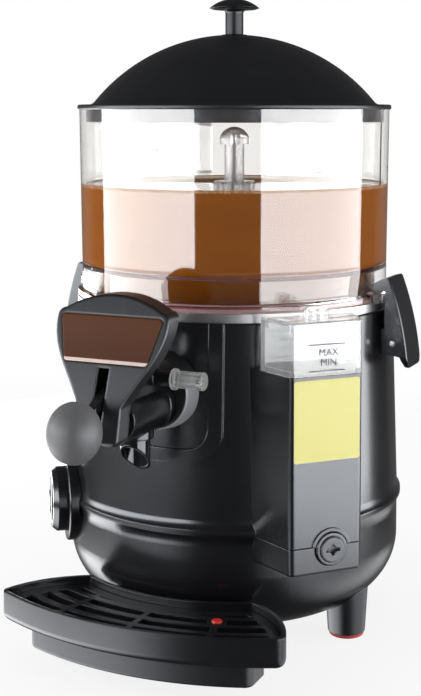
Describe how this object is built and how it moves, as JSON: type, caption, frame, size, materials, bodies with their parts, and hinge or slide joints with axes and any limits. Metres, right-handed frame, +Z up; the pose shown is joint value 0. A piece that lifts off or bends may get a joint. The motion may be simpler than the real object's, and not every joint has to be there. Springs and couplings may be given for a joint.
{
  "type": "hot chocolate dispenser",
  "caption": "Heated drinks dispenser: clear bowl with domed lid over a round black housing, lever tap with shield cover, water gauge box, dial and drip tray on legs.",
  "frame": {"origin": "middle of the footprint on the counter, under the feet", "axes": "+Z up along the bowl, -Y towards the tap, +X towards the water gauge side"},
  "size_m": [0.2806, 0.3903, 0.46],
  "materials": {
    "black_satin": "satin",
    "black_gloss": "gloss",
    "clear_plastic": "polished",
    "bowl_clear": "polished",
    "steel": "brushed",
    "bright_steel": "polished",
    "cast_grey": "satin",
    "red_rubber": "matte",
    "black_rubber": "matte",
    "silicone": "satin",
    "brown_sign": "gloss",
    "grey_plastic": "satin",
    "white_plastic": "satin",
    "red_plastic": "gloss",
    "yellow_label": "satin",
    "amber_lens": "polished"
  },
  "bodies": {
    "housing": {"upper_housing": "black_satin", "lower_housing": "black_satin", "base_cover": "black_satin", "front_panel": "black_satin", "legs": "black_satin", "rubber_feet": "red_rubber", "base_screws": "bright_steel", "product_tank": "steel", "water_tank": "steel", "heating_element": "steel", "outlet_pipe": "steel", "bowl": "bowl_clear", "bowl_seal": "red_rubber", "shaft_bushes": "white_plastic", "motor_bracket": "steel", "gearbox": "cast_grey", "motor": "steel", "safety_thermostat": "black_gloss", "gauge_vessel": "clear_plastic", "balance_pipe": "silicone", "drain_collar": "black_satin", "gauge_label": "yellow_label", "dial_bezel": "black_satin", "thermostat": "white_plastic", "switch_case": "black_gloss", "pilot_lamp": "amber_lens", "cable_gland": "black_satin", "latch_brackets": "black_satin", "latch_pins": "bright_steel", "tap_nut": "grey_plastic", "tap_body": "black_satin", "tap_cap": "black_satin", "spout": "black_gloss", "tap_spring": "bright_steel", "tap_cover": "black_satin", "shield_screw": "bright_steel", "sign_plate": "brown_sign", "tray_support": "black_satin"},
    "lid": {"lid": "black_satin", "lid_knob": "black_satin", "lid_knob_screw": "bright_steel"},
    "stirrer": {"drive_shaft": "bright_steel", "stirrer": "white_plastic", "stirrer_cap": "black_gloss"},
    "gauge_lid": {"gauge_lid": "clear_plastic"},
    "drain_plug": {"drain_plug": "grey_plastic"},
    "dial": {"dial_knob": "black_satin", "dial_spindle": "bright_steel"},
    "rocker": {"rocker": "black_gloss"},
    "latch_right": {"latch_right": "black_satin"},
    "latch_left": {"latch_left": "black_satin"},
    "plunger": {"plunger": "white_plastic", "plunger_ring": "black_rubber"},
    "lever": {"lever": "black_satin", "ball_knob": "grey_plastic"},
    "pull_pin": {"pull_pin": "clear_plastic"},
    "drip_tray": {"drip_tray": "black_satin"},
    "drip_grille": {"drip_grille": "black_satin"},
    "float_indicator": {"float_indicator": "red_plastic"}
  },
  "joints": [
    {"name": "lid_lift", "type": "slide", "parent": "housing", "child": "lid", "axis": [0, 0, 1], "range_m": [0, 0.12]},
    {"name": "stirrer_spin", "type": "hinge", "parent": "housing", "child": "stirrer", "pos_m": [0, 0.05565, 0.2], "axis": [0, 0, 1], "continuous": true},
    {"name": "lever_lift", "type": "hinge", "parent": "housing", "child": "lever", "pos_m": [0, -0.09435, 0.2046], "axis": [-1, 0, 0], "range_deg": [0, 17], "stiffness_Nm_per_rad": 0.2, "springref_deg": -28.65},
    {"name": "plunger_slide", "type": "slide", "parent": "housing", "child": "plunger", "axis": [0, -1, 0], "range_m": [0, 0.0071]},
    {"name": "pin_pull", "type": "slide", "parent": "housing", "child": "pull_pin", "axis": [1, 0, 0], "range_m": [0, 0.045]},
    {"name": "latch_right_open", "type": "hinge", "parent": "housing", "child": "latch_right", "pos_m": [0.1288, 0.05565, 0.2136], "axis": [0, 1, 0], "range_deg": [0, 40]},
    {"name": "latch_left_open", "type": "hinge", "parent": "housing", "child": "latch_left", "pos_m": [-0.1288, 0.05565, 0.2136], "axis": [0, -1, 0], "range_deg": [0, 40]},
    {"name": "dial_turn", "type": "hinge", "parent": "housing", "child": "dial", "pos_m": [-0.10222, -0.02138, 0.092], "axis": [-0.7986, -0.6018, 0], "range_deg": [0, 270]},
    {"name": "rocker_tilt", "type": "hinge", "parent": "housing", "child": "rocker", "pos_m": [-0.11598, 0.08457, 0.1155], "axis": [-0.2419, -0.9703, 0], "range_deg": [0, 12]},
    {"name": "drain_plug_turn", "type": "hinge", "parent": "housing", "child": "drain_plug", "pos_m": [0.11558, -0.04962, 0.092], "axis": [0.7254, -0.6884, 0], "range_deg": [0, 90]},
    {"name": "gauge_lid_lift", "type": "slide", "parent": "housing", "child": "gauge_lid", "axis": [0, 0, 1], "range_m": [0, 0.03]},
    {"name": "tray_lift", "type": "slide", "parent": "housing", "child": "drip_tray", "axis": [0, 0, 1], "range_m": [0, 0.022]},
    {"name": "grille_lift", "type": "slide", "parent": "drip_tray", "child": "drip_grille", "axis": [0, 0, 1], "range_m": [0, 0.025]},
    {"name": "float_rise", "type": "slide", "parent": "drip_tray", "child": "float_indicator", "axis": [0, 0, 1], "range_m": [0, 0.004]}
  ],
  "couplings": [
    {"joint": "plunger_slide", "follows": "lever_lift", "m_per_rad": 0.02345}
  ]
}
